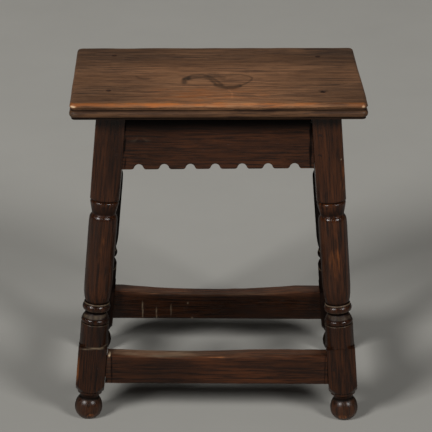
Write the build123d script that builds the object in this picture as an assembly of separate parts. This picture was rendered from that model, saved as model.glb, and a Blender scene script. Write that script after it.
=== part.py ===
from build123d import *
from dataclasses import dataclass
from math import cos, radians, sqrt, tan
import os

# Joined oak stool. Four raked legs, each one stick of square stock that is turned between its
# blocks, are held by deep scalloped aprons under the seat and by low stretchers. Every rail ends
# in tenons, pegged in the leg blocks, and the moulded seat board is pegged down on the leg tops.
# Millimetres, +Z up, +X to the stool's right, front towards -Y, origin on the floor in the middle.
# The depth of a turned member is how far it lies inside the largest turned radius.

# Seat board
seat_length = 464.0
seat_width = 286.0
seat_height = 556.0
seat_thickness = 27.0
seat_corner = 10.0
seat_turn = 1.3            # degrees that the old board has crept round on its frame
seat_shift = -2.0          # and how far it has crept along it
nosing_height = 8.0        # top member of the moulded edge
nosing_inset = 0.8
nosing_round = 5.0
nosing_under_round = 2.0
seat_quirk_height = 4.5    # hollow between the nosing and the bead
seat_quirk_inset = 3.2
seat_lip_height = 2.5      # plain strip under the bead
seat_lip_inset = 3.0
seat_bead_flat = 0.8       # left standing between the rounds of the bead

# Legs
leg_square = 47.0          # width of the stock, level across each block
end_overhang = 40.0        # seat edge to leg, at the leg tops
side_overhang = 36.5
splay_x = 4.8              # degrees
splay_y = 4.6              # degrees
turning_margin = 0.3       # what the lathe takes off the flats at the largest turned radius

# Foot, from the floor up, measured along the leg
ball_depth = 0.4
ball_centre = 18.0
foot_neck_depth = 7.6
foot_neck_height = 1.0
collar_depth = 3.0
collar_height = 9.0
collar_rim = 2.5

# Lower block, drum and grooved ring
stretcher_lip_above = 10.5
stretcher_lip_below = 17.5
block_round = 19.0         # turned cup under the lower block
drum_height = 36.5
quirk_height = 1.5
quirk_depth = 0.9
lower_bead_height = 8.2
slope_foot_depth = 1.7     # where the bead meets the slope above it
slope_head_depth = 6.2
slope_height = 10.8
slope_swell = 0.4
ring_gap_height = 3.6
ring_gap_depth = 6.9
ring_foot_depth = 4.8
ring_depth = 0.5
ring_height = 10.2
ring_groove_depth = 3.7
ring_groove_height = 1.1
ring_fillet_height = 2.2
ring_fillet_depth = 2.4

# Column, flared flank and bead
column_neck_depth = 5.2
column_neck_height = 1.5
column_foot_height = 31.0
column_foot_depth = 0.5
column_head_height = 23.8
waist_depth = 3.9
waist_height = 1.2
flank_height = 18.6
flank_head_depth = 0.4
flank_swell = 0.1
upper_bead_height = 6.5
upper_bead_head_depth = 2.2
upper_bead_swell = 1.1
upper_quirk_height = 0.9

# Upper block
pommel_length = 47.0       # corners turned off over this length
pommel_radius = 27.3       # turned radius at the lower end of the block
pommel_hollow = 1.0
pommel_end_round = 5.0
apron_lip_below = 6.0      # square block below the aprons

# Aprons
apron_depth = 93.0
apron_thickness = 20.0
apron_setback = 3.0        # face behind the leg faces
scallop_pitch = 41.0
scallop_rise = 8.6
scallop_round = 5.6
scallop_shift = -2.0       # the run is set out a little towards one end

# Stretchers
stretcher_height = 50.0
stretcher_thickness = 25.0
back_stretcher_height = 55.0
back_stretcher_thickness = 29.0
stretcher_setback = 2.0
front_wear_depth = 3.7     # tops worn hollow by feet
front_wear_centre = -60.0
front_wear_length = 250.0
back_wear_depth = 7.0
back_wear_centre = 15.0    # towards its own right end, which is the stool's left
back_wear_length = 310.0
side_wear_depth = 2.0
side_wear_length = 120.0

# Joints
tenon_inset = 8.0          # rail face to tenon cheek
tenon_thickness = 9.0
tenon_gap = 3.0            # between the two tenons that meet in a block
apron_haunch = 24.0        # tenon edge below the top of the apron
tenon_shoulder = 8.0       # tenon edge inside the rail edge elsewhere
mortise_clearance = 0.1
mortise_end_gap = 1.0
peg_radius = 4.0
peg_clearance = 0.1
peg_from_shoulder = 11.0
peg_inset = 14.0           # apron pegs, from the tenon's edges
peg_tail = 7.0             # runs on past the tenon
seat_peg_radius = 4.5
seat_peg_depth = 20.0      # into the leg
seat_peg_shift = -4.0      # bored to one side of the leg centres
back_seat_peg_out = 12.0   # and nearer the back edge

# Worked out from the sizes above
leg_top = seat_height - seat_thickness
leg_half = leg_square / 2
leg_top_x = seat_length / 2 - end_overhang - leg_half
leg_top_y = seat_width / 2 - side_overhang - leg_half
leg_floor_x = leg_top_x + leg_top * tan(radians(splay_x))
leg_floor_y = leg_top_y + leg_top * tan(radians(splay_y))
leg_lean = Vector(leg_top_x - leg_floor_x, leg_top_y - leg_floor_y, leg_top)
leg_length = leg_lean.length
turned_radius = leg_half * cos(radians(max(splay_x, splay_y))) - turning_margin
corner_radius = leg_half * sqrt(2)
stock_clear = leg_square   # a radius that clears the stock's corners
apron_bottom = leg_top - apron_depth
tenon_reach = leg_square - apron_setback - tenon_inset - tenon_thickness - tenon_gap
beyond = seat_length       # long enough to pass right through anything

ball_radius = turned_radius - ball_depth
foot_neck_radius = turned_radius - foot_neck_depth
ball_top = ball_centre + sqrt(ball_radius**2 - foot_neck_radius**2)
lower_block_bottom = ball_top + foot_neck_height + collar_height + collar_rim
lower_block_height = stretcher_lip_below + back_stretcher_height + stretcher_lip_above
lower_block_top = lower_block_bottom + lower_block_height
stretcher_top = (lower_block_top - stretcher_lip_above) * leg_top / leg_length


def leg_centre(height):
    """How far a leg's axis stands from the middle of the stool, along X and along Y."""
    share = height / leg_top
    return (
        leg_floor_x + (leg_top_x - leg_floor_x) * share,
        leg_floor_y + (leg_top_y - leg_floor_y) * share,
    )


class Outline:
    """A turned outline drawn upwards: x is the radius, y the height along the leg."""

    def __init__(self, radius, height):
        self.edges = []
        self.at = Vector(radius, height)

    def add(self, edge, end):
        self.edges.append(edge)
        self.at = end

    def to(self, radius, height):
        """Straight to a radius and a height."""
        end = Vector(radius, height)
        self.add(Line(self.at, end), end)

    def up(self, rise):
        """Straight up the leg."""
        self.to(self.at.X, self.at.Y + rise)

    def step(self, depth):
        """Square in or out to a depth."""
        self.to(turned_radius - depth, self.at.Y)

    def bow(self, radius, rise, swell):
        """An arc to a radius that stands out from its chord by swell, or hollows if below 0."""
        end = Vector(radius, self.at.Y + rise)
        self.add(SagittaArc(self.at, end, -swell), end)

    def bead(self, crest_depth, end_depth, height):
        """An arc over a crest at half its height."""
        crest = Vector(turned_radius - crest_depth, self.at.Y + height / 2)
        end = Vector(turned_radius - end_depth, self.at.Y + height)
        self.add(ThreePointArc(self.at, crest, end), end)

    def leave(self, radius, rise):
        """An arc that starts straight up the leg."""
        end = Vector(radius, self.at.Y + rise)
        self.add(TangentArc(self.at, end, tangent=(0, 1)), end)

    def arrive(self, radius, rise):
        """An arc that ends straight up the leg."""
        end = Vector(radius, self.at.Y + rise)
        self.add(TangentArc(end, self.at, tangent=(0, -1)), end)


def turned_form():
    """What the lathe leaves, upright on the origin, wider than the stock where the blocks are."""
    line = Outline(0, ball_centre - ball_radius)
    ball_end = Vector(foot_neck_radius, ball_top)
    line.add(ThreePointArc(line.at, Vector(ball_radius, ball_centre), ball_end), ball_end)
    line.up(foot_neck_height)
    line.leave(turned_radius - collar_depth, collar_height)
    line.up(collar_rim)

    # Cup under the lower block, the block, and its flat upper shoulder
    line.arrive(corner_radius, block_round)
    line.to(stock_clear, line.at.Y)
    line.to(stock_clear, lower_block_top)
    line.step(0)

    # Drum, bead and the slope above it
    line.up(drum_height)
    line.step(quirk_depth)
    line.up(quirk_height)
    line.bead(0, slope_foot_depth, lower_bead_height)
    line.bow(turned_radius - slope_head_depth, slope_height, slope_swell)

    # Grooved ring
    line.step(ring_gap_depth)
    line.up(ring_gap_height)
    line.step(ring_foot_depth)
    line.bead(ring_depth, ring_groove_depth, ring_height)
    line.up(ring_groove_height)
    line.step(ring_fillet_depth)
    line.up(ring_fillet_height)

    # Column, whose length is what the members below and above it leave
    line.step(column_neck_depth)
    line.up(column_neck_height)
    line.arrive(turned_radius - column_foot_depth, column_foot_height)
    pommel_top = (apron_bottom - apron_lip_below) * leg_length / leg_top
    block_end = pommel_top - pommel_length
    bead_bottom = block_end - upper_quirk_height - upper_bead_height
    line.to(turned_radius, bead_bottom - flank_height - waist_height - column_head_height)
    line.leave(turned_radius - waist_depth, column_head_height)

    # Waist, flank and bead
    line.up(waist_height)
    line.bow(turned_radius - flank_head_depth, flank_height, flank_swell)
    line.bow(turned_radius - upper_bead_head_depth, upper_bead_height, upper_bead_swell)
    line.up(upper_quirk_height)

    # Turned-off corners of the upper block
    line.arrive(pommel_radius, pommel_end_round)
    line.bow(corner_radius, pommel_length - pommel_end_round, -pommel_hollow)
    line.to(stock_clear, pommel_top)
    line.to(stock_clear, leg_length + stock_clear)
    line.to(0, line.at.Y)
    line.to(0, ball_centre - ball_radius)
    return revolve(Plane.XZ * make_face(line.edges), Axis.Z)


@dataclass
class Rail:
    """One apron or stretcher, drawn as if it were at the front: length along X, face to -Y."""

    kind: str
    side: str
    turn: float            # degrees from the front to its own side of the stool
    bottom: float
    top: float
    thickness: float
    setback: float
    tenon_bottom: float
    tenon_top: float
    peg_heights: tuple

    @property
    def name(self):
        return f"{self.kind}_{self.side}"

    @property
    def ends(self):
        """Which end of this rail meets the leg at its own left, and which at its right."""
        names = {"front": ("left", "right"), "right": ("front", "back")}
        names |= {"back": ("right", "left"), "left": ("back", "front")}
        return dict(zip((-1, 1), names[self.side]))

    def corner(self, height):
        """A leg's centre at a height: along this rail, and out towards its face."""
        x, y = leg_centre(height)
        return (x, y) if self.side in ("front", "back") else (y, x)

    def half_span(self, height):
        """From the middle of the rail to the inner face of a leg."""
        return self.corner(height)[0] - leg_half

    def slab(self, behind, thickness):
        """Everything that lies between two planes parallel to the leg faces of this side."""
        edge = [(-self.corner(height)[1] - leg_half + behind, height) for height in (0, leg_top)]
        back = [(y + thickness, height) for y, height in reversed(edge)]
        face = make_face(Polyline(*edge, *back, close=True))
        return extrude(Plane.YZ * face, beyond, both=True)

    def bar(self, bottom, top, reach, behind, thickness):
        """A straight bar parallel to the leg faces, whose ends reach past the legs' inner faces."""
        left = [(-self.half_span(height) - reach, height) for height in (bottom, top)]
        right = [(-x, height) for x, height in reversed(left)]
        face = make_face(Polyline(*left, *right, close=True))
        return extrude(Plane.XZ * face, beyond, both=True) & self.slab(behind, thickness)

    def body(self):
        """The rail with a tenon at each end."""
        stock = self.bar(self.bottom, self.top, 0, self.setback, self.thickness)
        return stock + self.tenons(tenon_reach, 0)

    def tenons(self, reach, clearance):
        """The tenons, joined by a bar inside the rail; with clearance, the mortises for them."""
        return self.bar(
            self.tenon_bottom - clearance,
            self.tenon_top + clearance,
            reach,
            self.setback + tenon_inset - clearance,
            tenon_thickness + 2 * clearance,
        )

    def pegs(self, end, clearance):
        """The pegs at one end, flush with the leg's face; with clearance, the holes for them."""
        length = self.setback + tenon_inset + tenon_thickness + peg_tail
        end_gap = mortise_end_gap if clearance else 0
        through = self.slab(0, length + end_gap)
        pins = []
        for height in self.peg_heights:
            across = end * (self.half_span(height) + peg_from_shoulder)
            pin = Pos(across, 0, height) * Rot(90, 0, 0) * Cylinder(peg_radius + clearance, beyond)
            pins.append(pin & through)
        return pins

    def placed(self, shape):
        """Turned from the front to this rail's own side."""
        return Rot(0, 0, self.turn) * shape


def apron(side, turn):
    tenon_bottom = apron_bottom + tenon_shoulder
    tenon_top = leg_top - apron_haunch
    return Rail(
        "apron", side, turn, apron_bottom, leg_top, apron_thickness, apron_setback,
        tenon_bottom, tenon_top, (tenon_bottom + peg_inset, tenon_top - peg_inset),
    )


def stretcher(side, turn, height, thickness):
    bottom = stretcher_top - height
    return Rail(
        "stretcher", side, turn, bottom, stretcher_top, thickness, stretcher_setback,
        bottom + tenon_shoulder, stretcher_top - tenon_shoulder, (bottom + height / 2,),
    )


def scallops(rail):
    """The cut-outs along an apron's lower edge: each is a round head between two flared lips."""
    reach = sqrt(4 * scallop_round**2 - (2 * scallop_round - scallop_rise) ** 2)
    head = scallop_rise - scallop_round
    flare = (reach / 2, scallop_rise / 2)
    lip = TangentArc((-reach, 0), (-flare[0], flare[1]), tangent=(1, 0))
    crown = ThreePointArc((-flare[0], flare[1]), (0, scallop_rise), flare)
    far_lip = TangentArc((reach, 0), flare, tangent=(-1, 0))
    below = Polyline((reach, 0), (reach, -head), (-reach, -head), (-reach, 0))
    cut = extrude(Plane.XZ * make_face([lip, crown, far_lip, below]), beyond, both=True)
    count = int(2 * rail.half_span(rail.bottom) / scallop_pitch)
    first = scallop_shift - (count - 1) * scallop_pitch / 2
    return [Pos(first + i * scallop_pitch, 0, rail.bottom) * cut for i in range(count)]


def hollow(rail, centre, length, depth):
    """What feet have worn away along the top of a stretcher."""
    left, right = centre - length / 2, centre + length / 2
    wear = ThreePointArc((left, 0), (centre, -depth), (right, 0))
    above = Polyline((right, 0), (right, depth), (left, depth), (left, 0))
    cut = extrude(Plane.XZ * make_face([wear, above]), beyond, both=True)
    return Pos(0, 0, rail.top) * cut


def seat_member(inset, bottom, height):
    """One member of the seat's moulded edge, right across the board."""
    outline = RectangleRounded(
        seat_length - 2 * inset, seat_width - 2 * inset, seat_corner - inset
    )
    return Pos(0, 0, bottom) * extrude(outline, height)


def seat_board():
    bead_height = seat_thickness - nosing_height - seat_quirk_height - seat_lip_height
    bead_bottom = leg_top + seat_lip_height
    quirk_bottom = bead_bottom + bead_height
    nosing_bottom = quirk_bottom + seat_quirk_height
    lip = seat_member(seat_lip_inset, leg_top, seat_lip_height)
    bead = seat_member(0, bead_bottom, bead_height)
    rims = bead.edges().group_by(Axis.Z)[0] + bead.edges().group_by(Axis.Z)[-1]
    bead = fillet(rims, (bead_height - seat_bead_flat) / 2)
    quirk = seat_member(seat_quirk_inset, quirk_bottom, seat_quirk_height)
    nosing = seat_member(nosing_inset, nosing_bottom, nosing_height)
    nosing = fillet(nosing.edges().group_by(Axis.Z)[-1], nosing_round)
    nosing = fillet(nosing.edges().group_by(Axis.Z)[0], nosing_under_round)
    return Pos(seat_shift, 0, 0) * Rot(0, 0, seat_turn) * (lip + bead + quirk + nosing)


def seat_peg(sx, sy, clearance):
    """A peg from the top of the seat down into a leg; with clearance, the hole for it."""
    bottom = leg_top - seat_peg_depth - (mortise_end_gap if clearance else 0)
    pin = Cylinder(
        seat_peg_radius + clearance, seat_height - bottom,
        align=(Align.CENTER, Align.CENTER, Align.MIN),
    )
    across = sx * leg_top_x + seat_peg_shift
    back = sy * leg_top_y + (back_seat_peg_out if sy > 0 else 0)
    return Pos(across, back, bottom) * pin


def leg_stock(sx, sy):
    """Square stock, level at both ends and raked, one leg's length."""
    foot = Pos(sx * leg_floor_x, sy * leg_floor_y) * Rectangle(leg_square, leg_square)
    rake = Vector(sx * leg_lean.X, sy * leg_lean.Y, leg_lean.Z)
    return extrude(foot, leg_length, dir=rake.normalized())


def leg(sx, sy, turned):
    rake = Vector(sx * leg_lean.X, sy * leg_lean.Y, leg_lean.Z)
    axis = Plane(origin=(sx * leg_floor_x, sy * leg_floor_y, 0), x_dir=(1, 0, 0), z_dir=rake)
    return leg_stock(sx, sy) & (axis * turned)


rails = [
    apron("front", 0),
    apron("right", 90),
    apron("back", 180),
    apron("left", 270),
    stretcher("front", 0, stretcher_height, stretcher_thickness),
    stretcher("right", 90, stretcher_height, stretcher_thickness),
    stretcher("back", 180, back_stretcher_height, back_stretcher_thickness),
    stretcher("left", 270, stretcher_height, stretcher_thickness),
]
wear = {
    "front": (front_wear_centre, front_wear_length, front_wear_depth),
    "back": (back_wear_centre, back_wear_length, back_wear_depth),
    "left": (0, side_wear_length, side_wear_depth),
    "right": (0, side_wear_length, side_wear_depth),
}
corners = {
    ("front", "left"): (-1, -1),
    ("front", "right"): (1, -1),
    ("back", "left"): (-1, 1),
    ("back", "right"): (1, 1),
}

parts = {}
turned = turned_form()
legs = {place: leg(*signs, turned) for place, signs in corners.items()}

for rail in rails:
    shape = rail.body()
    if rail.kind == "apron":
        shape -= scallops(rail)
    else:
        shape -= hollow(rail, *wear[rail.side])
    mortises = rail.placed(rail.tenons(tenon_reach + mortise_end_gap, mortise_clearance))
    for end, end_name in rail.ends.items():
        holes = rail.pegs(end, peg_clearance)
        shape -= holes
        place = (rail.side, end_name) if rail.side in ("front", "back") else (end_name, rail.side)
        legs[place] -= mortises
        legs[place] -= [rail.placed(hole) for hole in holes]
        pegs = [rail.placed(peg) for peg in rail.pegs(end, 0)]
        parts[f"pegs_{rail.name}_{end_name}"] = Compound(children=pegs)
    parts[rail.name] = rail.placed(shape)

board = seat_board()
for (front, side), signs in corners.items():
    hole = seat_peg(*signs, peg_clearance)
    board -= hole
    parts[f"leg_{front}_{side}"] = legs[(front, side)] - hole
    parts[f"seat_peg_{front}_{side}"] = seat_peg(*signs, 0)
parts["seat_board"] = board

os.makedirs("parts", exist_ok=True)
for name, shape in parts.items():
    export_step(shape, f"parts/{name}.step")
    print(f"{name}: {shape.volume / 1000:.1f} cm3")
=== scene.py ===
"""The looks of a joined oak stool: raked turned legs, scalloped aprons, worn stretchers and a plank
seat with a moulded edge, in old waxed oak. Metres, +Z up, front towards -Y, floor at zero."""

import math

import bmesh
import bpy
import numpy as np
from bpy.props import FloatProperty, FloatVectorProperty, IntProperty, PointerProperty
from bpy.types import Operator, Panel, PropertyGroup
from mathutils import Euler, Matrix, Vector
from mathutils import noise as perlin


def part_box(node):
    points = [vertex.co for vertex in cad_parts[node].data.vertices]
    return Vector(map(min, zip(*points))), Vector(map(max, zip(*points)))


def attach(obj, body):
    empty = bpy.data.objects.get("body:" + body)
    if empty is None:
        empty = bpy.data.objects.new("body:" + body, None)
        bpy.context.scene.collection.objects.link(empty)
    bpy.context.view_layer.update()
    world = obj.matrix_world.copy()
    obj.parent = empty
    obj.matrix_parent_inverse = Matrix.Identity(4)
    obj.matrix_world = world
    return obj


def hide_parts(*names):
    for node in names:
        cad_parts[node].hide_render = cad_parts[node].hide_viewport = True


bl_info = {
    "name": "Joined oak stool",
    "version": (1, 0, 0),
    "blender": (4, 5, 0),
    "location": "3D View > Sidebar > Joint stool",
    "description": "Builds an old joined oak stool, piece by piece, with its finish and a studio",
    "category": "Object",
}

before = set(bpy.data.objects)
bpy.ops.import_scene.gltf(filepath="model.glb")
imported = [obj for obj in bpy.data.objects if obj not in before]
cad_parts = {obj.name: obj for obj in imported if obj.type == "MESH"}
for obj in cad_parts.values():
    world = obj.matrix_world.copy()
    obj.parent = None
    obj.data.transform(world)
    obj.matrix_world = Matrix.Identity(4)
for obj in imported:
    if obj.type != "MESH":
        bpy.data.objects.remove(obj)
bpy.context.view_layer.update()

MM = 0.001
BODY = "root"
SIDES = {"front": 0, "right": 90, "back": 180, "left": 270}
CORNERS = {
    "front_left": (-1, -1),
    "front_right": (1, -1),
    "back_left": (-1, 1),
    "back_right": (1, 1),
}

# Heights of the seat, the aprons and the stretchers, from the solids' boxes
SEAT_LOW, SEAT_TOP = (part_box("seat_board")[i].z for i in (0, 1))
APRON_LOW, APRON_TOP = (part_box("apron_front")[i].z for i in (0, 1))
STRETCHER_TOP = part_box("stretcher_left")[1].z

# The legs' stock, their splay to the side and to the front, and where they stand
LEG_STOCK = 47 * MM
SPLAY = (math.radians(4.8), math.radians(4.6))
LEG_TOP_CENTRE = (168.5 * MM, 83.0 * MM)
LEG_FLOOR_CENTRE = tuple(c + SEAT_LOW * math.tan(a) for c, a in zip(LEG_TOP_CENTRE, SPLAY))
LEG_RAKE = Vector((*(t - f for t, f in zip(LEG_TOP_CENTRE, LEG_FLOOR_CENTRE)), SEAT_LOW))
LEG_LENGTH = LEG_RAKE.length


def hex_colour(text):
    """An sRGB hex colour as linear red, green and blue."""
    parts = [int(text[i : i + 2], 16) / 255 for i in (1, 3, 5)]
    return tuple(c / 12.92 if c <= 0.04045 else ((c + 0.055) / 1.055) ** 2.4 for c in parts)


def length(name, description, millimetres, **more):
    """A size that the user can change, from a default in millimetres."""
    return FloatProperty(
        name=name, description=description, default=millimetres * MM, unit="LENGTH", **more
    )


def colour(name, description, text):
    """A colour that the user can change, from a default in hex."""
    return FloatVectorProperty(
        name=name, description=description, default=hex_colour(text), size=3,
        subtype="COLOR", min=0, max=1,
    )


class StoolSeatSizes(PropertyGroup):
    length: length("Length", "Length of the plank over its moulded edge", 464)
    width: length("Width", "Width of the plank over its moulded edge", 286)
    corner: length("Corner radius", "Rounding of the plank's corners seen from above", 10)
    turn: FloatProperty(
        name="Turn", description="How far the old plank has crept round on its frame",
        default=math.radians(1.3), unit="ROTATION",
    )
    shift: length("Shift", "How far it has crept along its frame", -2)
    mesh_step: length("Mesh step", "Spacing of the mesh across the plank", 1.5)
    dish: length("Dish", "Hollow worn in the middle of the plank", 0.5)
    nosing_round: length("Nosing rounding", "Least rounding of the top edge", 4.4)
    nosing_wear: length("Nosing wear", "Most that wear adds to the rounding of the top edge", 2.6)


class StoolLegSizes(PropertyGroup):
    sides: IntProperty(name="Sides", description="Faces round a leg", default=112, min=16)
    arris: length("Arris loss", "What wear has taken off the corners of the blocks", 0.9)
    tool_marks: length("Hand work", "How far the surface strays from true", 0.45)


class StoolRailSizes(PropertyGroup):
    arris: length("Arris", "Rounding of a sound edge", 0.9)
    worn_arris: length("Worn arris", "Rounding of an edge that feet have rubbed", 4.5)
    waviness: length("Hand work", "How far the faces stray from flat", 0.3)


class StoolFinish(PropertyGroup):
    seat_dark: colour("Seat, dark figure", "Darkest grain of the seat", "#38241a")
    seat_mid: colour("Seat, body", "Body colour of the seat", "#6a4931")
    seat_light: colour("Seat, light figure", "Rubbed and faded grain of the seat", "#926847")
    frame_dark: colour("Frame, dark figure", "Darkest grain of legs and rails", "#140b08")
    frame_mid: colour("Frame, body", "Body colour of legs and rails", "#27150c")
    frame_light: colour("Frame, light figure", "Clearer grain of legs and rails", "#4a2814")
    rubbed: colour("Rubbed arrises", "Oak laid bare by hands and feet", "#935527")
    # Grime also serves as painted shade, and dust as painted highlights and reflections, on some
    # pieces
    grime_and_shade: colour("Grime", "Wax and dirt packed into the hollows", "#0d0705")
    dust: colour("Dust", "Pale dust and old splashes on ledges", "#8d7a62")
    peg: colour("Peg ends", "End grain of the pegs", "#24130b")


class StoolStage(PropertyGroup):
    floor: colour("Floor", "Painted studio floor", "#9e9c96")
    left_power: FloatProperty(
        name="Left softbox", description="Power of the softbox on the left", default=430,
        unit="POWER",
    )
    right_power: FloatProperty(
        name="Right softbox", description="Power of the softbox on the right", default=280,
        unit="POWER",
    )
    wall: colour("Wall", "Painted wall behind the floor", "#8b8985")
    distance: FloatProperty(
        name="Softbox distance", description="From the stool to each softbox", default=7.2,
        unit="LENGTH",
    )
    size: FloatProperty(
        name="Softbox size", description="Width and height of each softbox", default=1.95,
        unit="LENGTH",
    )


# ---------------------------------------------------------------- mesh helpers


def mesh_object(name, points, faces):
    """A mesh object at the origin."""
    mesh = bpy.data.meshes.new(name)
    mesh.from_pydata([tuple(p) for p in points], [], faces)
    made = bpy.data.objects.new(name, mesh)
    bpy.context.scene.collection.objects.link(made)
    return made


def close_up(made, smooth_angle):
    """Merges doubles, drops faces without area, turns the rest outwards and shades them smooth
    up to an angle."""
    work = bmesh.new()
    work.from_mesh(made.data)
    bmesh.ops.remove_doubles(work, verts=work.verts, dist=0.005 * MM)
    bmesh.ops.dissolve_degenerate(work, edges=work.edges, dist=0.004 * MM)
    bmesh.ops.recalc_face_normals(work, faces=work.faces)
    work.to_mesh(made.data)
    work.free()
    made.data.polygons.foreach_set("use_smooth", [True] * len(made.data.polygons))
    made.data.set_sharp_from_angle(angle=math.radians(smooth_angle))
    made.data.update()


def attribute(made, name, values):
    """One number or one vector for each vertex."""
    values = np.asarray(values, np.float32)
    kind, key = ("FLOAT_VECTOR", "vector") if values.ndim == 2 else ("FLOAT", "value")
    made.data.attributes.new(name, kind, "POINT").data.foreach_set(key, values.ravel())


def roughly(points, size, seed):
    """Smooth noise, -1 to 1, with features about as large as size, one number or one for each
    axis."""
    scaled = np.asarray(points) / np.asarray(size)
    apart = Vector((seed * 7.3, seed * 3.1, seed))
    return np.array([perlin.noise(Vector(p) + apart) for p in scaled])


def ease(value, low, high):
    """0 below low and 1 above high, with a smooth change between them."""
    share = np.clip((np.asarray(value, float) - low) / (high - low), 0, 1)
    return share * share * (3 - 2 * share)


def arc(start, end, count):
    return np.linspace(start, end, count + 1)


def bands(count, ring):
    """Faces that join each closed ring of points to the next."""
    return [
        (i * ring + j, i * ring + (j + 1) % ring, (i + 1) * ring + (j + 1) % ring,
         (i + 1) * ring + j)
        for i in range(count - 1) for j in range(ring)
    ]


def weathered_and_painted_light(piece, marks):
    """Adds marks to a finished piece, old wear and some painted light and shade: attribute, middle
    and half sizes in mm, and strength.
    """
    mesh = piece.data
    at = np.empty(3 * len(mesh.vertices), np.float32)
    mesh.vertices.foreach_get("co", at)
    at = at.reshape(-1, 3) / MM
    for name, middle, half, strength in marks:
        if name not in mesh.attributes:
            attribute(piece, name, np.zeros(len(at)))
        values = np.empty(len(at), np.float32)
        mesh.attributes[name].data.foreach_get("value", values)
        away = np.linalg.norm((at - np.array(middle)) / np.array(half), axis=1)
        values += strength * (1 - ease(away, 0.55, 1.0)).astype(np.float32)
        mesh.attributes[name].data.foreach_set("value", values)


# ---------------------------------------------------------------- nodes


# The kinds of node that are used most, and the smooth setting of a Map Range
MATH, VECTOR, RANGE = "ShaderNodeMath", "ShaderNodeVectorMath", "ShaderNodeMapRange"
SPLIT, JOIN = "ShaderNodeSeparateXYZ", "ShaderNodeCombineXYZ"
SMOOTH = {"interpolation_type": "SMOOTHSTEP"}


def add(tree, kind, inputs=(), **settings):
    """Adds a node with its settings. Its inputs, by name or in order, are values, sockets, or
    nodes, whose first output is taken."""
    made = tree.nodes.new(kind)
    for name, value in settings.items():
        setattr(made, name, value)
    for key, value in inputs.items() if isinstance(inputs, dict) else enumerate(inputs):
        if isinstance(value, bpy.types.Node):
            value = value.outputs[0]
        if isinstance(value, bpy.types.NodeSocket):
            tree.links.new(value, made.inputs[key])
        else:
            made.inputs[key].default_value = value
    return made


def new_tree(name, sockets):
    """An empty Geometry Nodes tree with its group input and output, and named inputs."""
    tree = bpy.data.node_groups.new(name, "GeometryNodeTree")
    tree.interface.new_socket("Geometry", in_out="OUTPUT", socket_type="NodeSocketGeometry")
    for socket, kind in sockets.items():
        tree.interface.new_socket(socket, in_out="INPUT", socket_type=f"NodeSocket{kind}")
    return tree, tree.nodes.new("NodeGroupInput").outputs, tree.nodes.new("NodeGroupOutput")


def grown(name, tree, values, start=None):
    """The mesh that a tree makes with these input values, as a plain object."""
    base = start or mesh_object(name + "_base", [], [])
    modifier = base.modifiers.new(tree.name, "NODES")
    modifier.node_group = tree
    keys = {s.name: s.identifier for s in tree.interface.items_tree if s.in_out == "INPUT"}
    for socket, value in values.items():
        modifier[keys[socket]] = value
    evaluated = base.evaluated_get(bpy.context.evaluated_depsgraph_get())
    mesh = bpy.data.meshes.new_from_object(evaluated)
    mesh.name = name
    made = bpy.data.objects.new(name, mesh)
    bpy.context.scene.collection.objects.link(made)
    old = base.data
    bpy.data.objects.remove(base)
    bpy.data.meshes.remove(old)
    return made


def seated(piece, node, smooth_angle=35):
    """Stands a finished piece in the frame in place of its node."""
    close_up(piece, smooth_angle)
    weathered_and_painted_light(piece, MARKS.get(node, ()))
    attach(piece, BODY)
    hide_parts(node)
    return piece


# ---------------------------------------------------------------- finishes


# For each finish: its name, its dark, body and light colours, the width of its streaks in mm, its
# roughness, how bare rubbing leaves it, and how brightly it is polished
FINISHES = {
    # A waxed plank worn by sitting: brown figure along it, and rubbed orange on the nosing
    "seat": ("Waxed oak plank", ("seat_dark", "seat_mid", "seat_light"), 3.6, 0.46, 0.9, 0.22),
    # Riven and turned, then waxed for centuries: near black, and red-brown where the wax is thin
    "frame": (
        "Waxed oak, riven and turned", ("frame_dark", "frame_mid", "frame_light"),
        3.2, 0.2, 0.7, 0.25,
    ),
    # End grain of riven pegs, which soaked up more wax than the wood round it
    "peg": ("Riven oak peg", ("grime_and_shade", "peg", "frame_mid"), 2.0, 0.5, 0.4, 0.2),
}


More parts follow.
